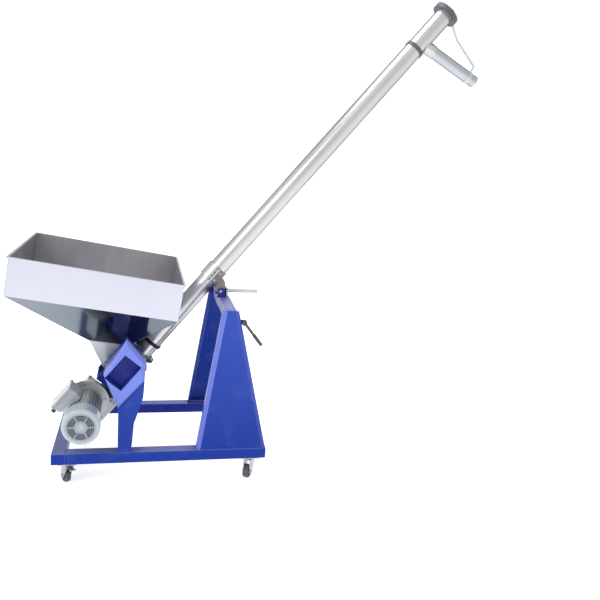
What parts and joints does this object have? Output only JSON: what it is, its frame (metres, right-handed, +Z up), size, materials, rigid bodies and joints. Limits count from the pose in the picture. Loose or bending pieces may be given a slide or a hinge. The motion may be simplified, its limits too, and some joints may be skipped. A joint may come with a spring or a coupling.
{
  "type": "mobile grain auger",
  "caption": "Mobile screw feeder: open stainless hopper on a blue wheeled frame, inclined auger tube with outlet chute, worm gear motor at the foot.",
  "frame": {"origin": "bottom centre of the whole machine's box, on the floor", "axes": "+X from the motor end towards the outlet chute, +Y away from the motor's fan side, +Z up"},
  "size_m": [2.2022, 0.8034, 2.3512],
  "materials": {
    "blue_paint": "gloss",
    "stainless": "satin",
    "stainless_mirror": "polished",
    "dark_flange": "satin",
    "black_cast": "satin",
    "aluminium_cast": "cast, matt",
    "silver_paint": "semi-gloss",
    "steel": "machined",
    "zinc": "zinc plated",
    "dark_steel": "oiled",
    "grey_clamp": "matt",
    "rubber": "matt",
    "plate_dark": "satin",
    "plate_light": "satin",
    "bronze": "machined",
    "plastic_black": "matt",
    "copper_iron": "machined"
  },
  "bodies": {
    "frame": {"rail_near": "blue_paint", "rail_far": "blue_paint", "beam_front": "blue_paint", "beam_rear": "blue_paint", "leg_near": "blue_paint", "leg_far": "blue_paint", "wing_near": "blue_paint", "wing_far": "blue_paint", "head_box": "blue_paint", "tower_near": "blue_paint", "tower_far": "blue_paint", "tower_crossbar": "blue_paint", "auger_tube": "stainless", "inlet_tube": "stainless", "hopper_bin": "stainless", "hopper_throat": "stainless", "outlet_stub": "stainless", "clamp_cap": "stainless", "push_handle": "stainless", "chute_pipe": "stainless_mirror", "top_cover": "dark_flange", "tube_rings": "dark_flange", "adapter_ring": "black_cast", "gearbox_housing": "aluminium_cast", "gearbox_cover": "aluminium_cast", "motor_housing": "aluminium_cast", "fan_cover": "silver_paint", "terminal_box": "silver_paint", "terminal_lid": "silver_paint", "screw_bearings": "steel", "gearbox_bearings": "steel", "clamp_pin": "steel", "stay_rod": "steel", "hex_bolts": "zinc", "clamp_bolts": "zinc", "caster_plates": "zinc", "shaft_seal": "rubber", "clamp_saddle": "grey_clamp", "hopper_plate_upper": "plate_dark", "hopper_plate_lower": "plate_light", "cable_gland": "plastic_black", "motor_stator": "copper_iron"},
    "screw": {"auger_screw": "steel", "worm_wheel": "bronze"},
    "rotor": {"worm_shaft": "steel", "motor_rotor": "steel", "cooling_fan": "plastic_black"},
    "lever": {"lock_lever": "dark_steel"},
    "fork_front_near": {"caster_fork_front_near": "zinc"},
    "wheel_front_near": {"caster_wheel_front_near": "rubber"},
    "fork_front_far": {"caster_fork_front_far": "zinc"},
    "wheel_front_far": {"caster_wheel_front_far": "rubber"},
    "fork_rear_near": {"caster_fork_rear_near": "zinc"},
    "wheel_rear_near": {"caster_wheel_rear_near": "rubber"},
    "fork_rear_far": {"caster_fork_rear_far": "zinc"},
    "wheel_rear_far": {"caster_wheel_rear_far": "rubber"},
    "pedal_front_near": {"brake_pedal_front_near": "zinc"},
    "pedal_front_far": {"brake_pedal_front_far": "zinc"}
  },
  "joints": [
    {"name": "screw_spin", "type": "hinge", "parent": "frame", "child": "screw", "pos_m": [-0.73716, 0.01025, 0.293], "axis": [0.6293, 0, 0.7771], "continuous": true},
    {"name": "rotor_spin", "type": "hinge", "parent": "frame", "child": "rotor", "pos_m": [-0.79241, 0.01025, 0.32488], "axis": [0, -1, 0], "continuous": true},
    {"name": "lever_swing", "type": "hinge", "parent": "frame", "child": "lever", "pos_m": [-0.07666, -0.29875, 0.785], "axis": [0, 1, 0], "range_deg": [-95, 20]},
    {"name": "swivel_front_near", "type": "hinge", "parent": "frame", "child": "fork_front_near", "pos_m": [-0.85866, -0.27975, 0.1], "axis": [0, 0, 1], "continuous": true},
    {"name": "roll_front_near", "type": "hinge", "parent": "fork_front_near", "child": "wheel_front_near", "pos_m": [-0.86866, -0.26243, 0.032], "axis": [0.866, 0.5, 0], "continuous": true},
    {"name": "swivel_front_far", "type": "hinge", "parent": "frame", "child": "fork_front_far", "pos_m": [-0.85866, 0.30025, 0.1], "axis": [0, 0, 1], "continuous": true},
    {"name": "roll_front_far", "type": "hinge", "parent": "fork_front_far", "child": "wheel_front_far", "pos_m": [-0.86384, 0.28093, 0.032], "axis": [-0.9659, 0.2588, 0], "continuous": true},
    {"name": "swivel_rear_near", "type": "hinge", "parent": "frame", "child": "fork_rear_near", "pos_m": [-0.00866, -0.27975, 0.1], "axis": [0, 0, 1], "continuous": true},
    {"name": "roll_rear_near", "type": "hinge", "parent": "fork_rear_near", "child": "wheel_rear_near", "pos_m": [-0.02013, -0.29613, 0.032], "axis": [-0.8192, 0.5736, 0], "continuous": true},
    {"name": "swivel_rear_far", "type": "hinge", "parent": "frame", "child": "fork_rear_far", "pos_m": [-0.00866, 0.30025, 0.1], "axis": [0, 0, 1], "continuous": true},
    {"name": "roll_rear_far", "type": "hinge", "parent": "fork_rear_far", "child": "wheel_rear_far", "pos_m": [-0.02398, 0.31311, 0.032], "axis": [0.6428, 0.766, 0], "continuous": true},
    {"name": "brake_front_near", "type": "hinge", "parent": "fork_front_near", "child": "pedal_front_near", "pos_m": [-0.84966, -0.29534, 0.0855], "axis": [0.866, 0.5, 0], "range_deg": [0, 14]},
    {"name": "brake_front_far", "type": "hinge", "parent": "fork_front_far", "child": "pedal_front_far", "pos_m": [-0.854, 0.31764, 0.0855], "axis": [-0.9659, 0.2588, 0], "range_deg": [0, 14]}
  ],
  "couplings": [
    {"joint": "rotor_spin", "follows": "screw_spin", "ratio": -19}
  ]
}
